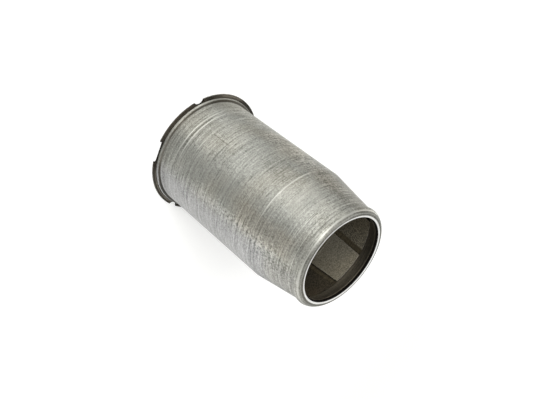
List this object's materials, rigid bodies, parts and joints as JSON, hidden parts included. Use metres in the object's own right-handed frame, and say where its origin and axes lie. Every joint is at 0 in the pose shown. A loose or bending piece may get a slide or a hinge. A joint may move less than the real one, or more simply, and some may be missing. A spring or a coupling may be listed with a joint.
{
  "type": "flanged taper sleeve",
  "caption": "Hollow steel sleeve with a notched rear flange, straight barrel, short tapered nose, rolled mouth and curved plates lining the nose.",
  "frame": {"origin": "centre of the flange's rear face, which the sleeve stands on", "axes": "+Z along the sleeve's axis from the flange to the mouth; +X lies in the direction from which the notch places are counted"},
  "size_m": [0.0556, 0.0556, 0.0862],
  "materials": {
    "turned_steel": "fine turned and brushed lines round the axis",
    "lip_steel": "turned, with a bright end face",
    "liner_steel": "dull heat-tinted steel",
    "dark_steel": "oil-blackened steel"
  },
  "bodies": {
    "root": {"flange_ring": "dark_steel", "retaining_ring": "turned_steel", "rear_collar": "turned_steel", "barrel_tube": "turned_steel", "nose_cone": "turned_steel", "mouth_ring": "lip_steel", "liner_segment_1": "liner_steel", "liner_segment_2": "liner_steel", "liner_segment_3": "liner_steel", "liner_segment_4": "liner_steel", "liner_segment_5": "liner_steel", "liner_segment_6": "liner_steel", "liner_segment_7": "liner_steel", "liner_segment_8": "liner_steel"}
  },
  "joints": []
}
